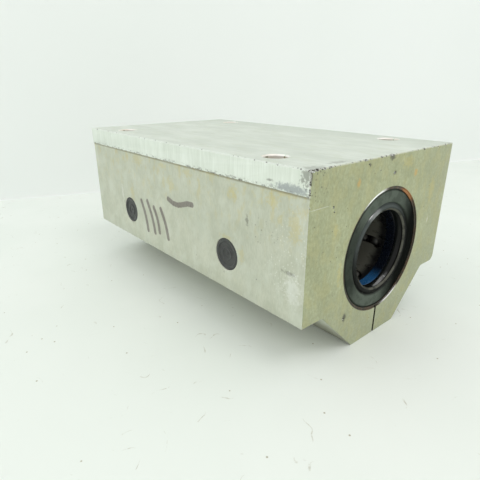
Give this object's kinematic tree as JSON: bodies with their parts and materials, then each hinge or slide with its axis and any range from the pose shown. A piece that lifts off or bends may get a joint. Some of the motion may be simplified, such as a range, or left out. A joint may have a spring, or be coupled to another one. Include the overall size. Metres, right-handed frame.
{
  "type": "linear ball bushing",
  "caption": "Tandem linear ball bushing unit: slotted aluminium pillow block round recirculating ball bushings in line, sealed at both ends, adjustable for play, for a 30 mm shaft.",
  "frame": {"origin": "on the axis of the shaft bore, at the middle of the block's length", "axes": "+X along the shaft bore, towards the front seal; +Z from the bore to the mounting face; -Y to the side with the reference edge, the side ports and the adjusting screws' heads"},
  "size_m": [0.152, 0.087, 0.07],
  "materials": {
    "housing_aluminium": "sawn and milled extrusion, dull and stained from use",
    "seal_case_steel": "pressed steel with light rust",
    "seal_rubber": "satin",
    "plug_polymer": "fine moulded grain",
    "cage_polymer": "oily moulded polymer",
    "end_ring_blue": "moulded, slightly glossy",
    "bearing_steel": "ground and hardened",
    "screw_steel": "blackened"
  },
  "bodies": {
    "housing": {"housing": "housing_aluminium", "front_seal_case": "seal_case_steel", "front_seal_rubber": "seal_rubber", "front_port_plug": "plug_polymer", "front_locating_screw": "screw_steel", "front_cage": "cage_polymer", "front_sleeve": "cage_polymer", "front_outer_end_ring": "end_ring_blue", "front_inner_end_ring": "end_ring_blue", "front_load_plate_1": "bearing_steel", "front_load_plate_2": "bearing_steel", "front_load_plate_3": "bearing_steel", "front_load_plate_4": "bearing_steel", "front_load_plate_5": "bearing_steel", "front_load_plate_6": "bearing_steel", "front_turn_balls": "bearing_steel", "rear_seal_case": "seal_case_steel", "rear_seal_rubber": "seal_rubber", "rear_port_plug": "plug_polymer", "rear_locating_screw": "screw_steel", "rear_cage": "cage_polymer", "rear_sleeve": "cage_polymer", "rear_outer_end_ring": "end_ring_blue", "rear_inner_end_ring": "end_ring_blue", "rear_load_plate_1": "bearing_steel", "rear_load_plate_2": "bearing_steel", "rear_load_plate_3": "bearing_steel", "rear_load_plate_4": "bearing_steel", "rear_load_plate_5": "bearing_steel", "rear_load_plate_6": "bearing_steel", "rear_turn_balls": "bearing_steel"},
    "front_loaded_balls": {"front_loaded_balls": "bearing_steel"},
    "front_return_balls": {"front_return_balls": "bearing_steel"},
    "front_adjusting_screw": {"front_adjusting_screw": "screw_steel"},
    "rear_loaded_balls": {"rear_loaded_balls": "bearing_steel"},
    "rear_return_balls": {"rear_return_balls": "bearing_steel"},
    "rear_adjusting_screw": {"rear_adjusting_screw": "screw_steel"}
  },
  "joints": [
    {"name": "front_loaded_rows_roll", "type": "slide", "parent": "housing", "child": "front_loaded_balls", "axis": [1, 0, 0], "range_m": [-0.0007, 0.0007]},
    {"name": "front_return_rows_roll", "type": "slide", "parent": "housing", "child": "front_return_balls", "axis": [1, 0, 0], "range_m": [-0.0007, 0.0007]},
    {"name": "front_adjusting_screw_turn", "type": "hinge", "parent": "housing", "child": "front_adjusting_screw", "pos_m": [0.038, 0, -0.02925], "axis": [0, 1, 0], "range_deg": [-90, 90]},
    {"name": "rear_loaded_rows_roll", "type": "slide", "parent": "housing", "child": "rear_loaded_balls", "axis": [1, 0, 0], "range_m": [-0.0007, 0.0007]},
    {"name": "rear_return_rows_roll", "type": "slide", "parent": "housing", "child": "rear_return_balls", "axis": [1, 0, 0], "range_m": [-0.0007, 0.0007]},
    {"name": "rear_adjusting_screw_turn", "type": "hinge", "parent": "housing", "child": "rear_adjusting_screw", "pos_m": [-0.038, 0, -0.02925], "axis": [0, 1, 0], "range_deg": [-90, 90]}
  ],
  "couplings": [
    {"joint": "front_return_rows_roll", "follows": "front_loaded_rows_roll", "ratio": -1},
    {"joint": "rear_return_rows_roll", "follows": "rear_loaded_rows_roll", "ratio": -1}
  ]
}
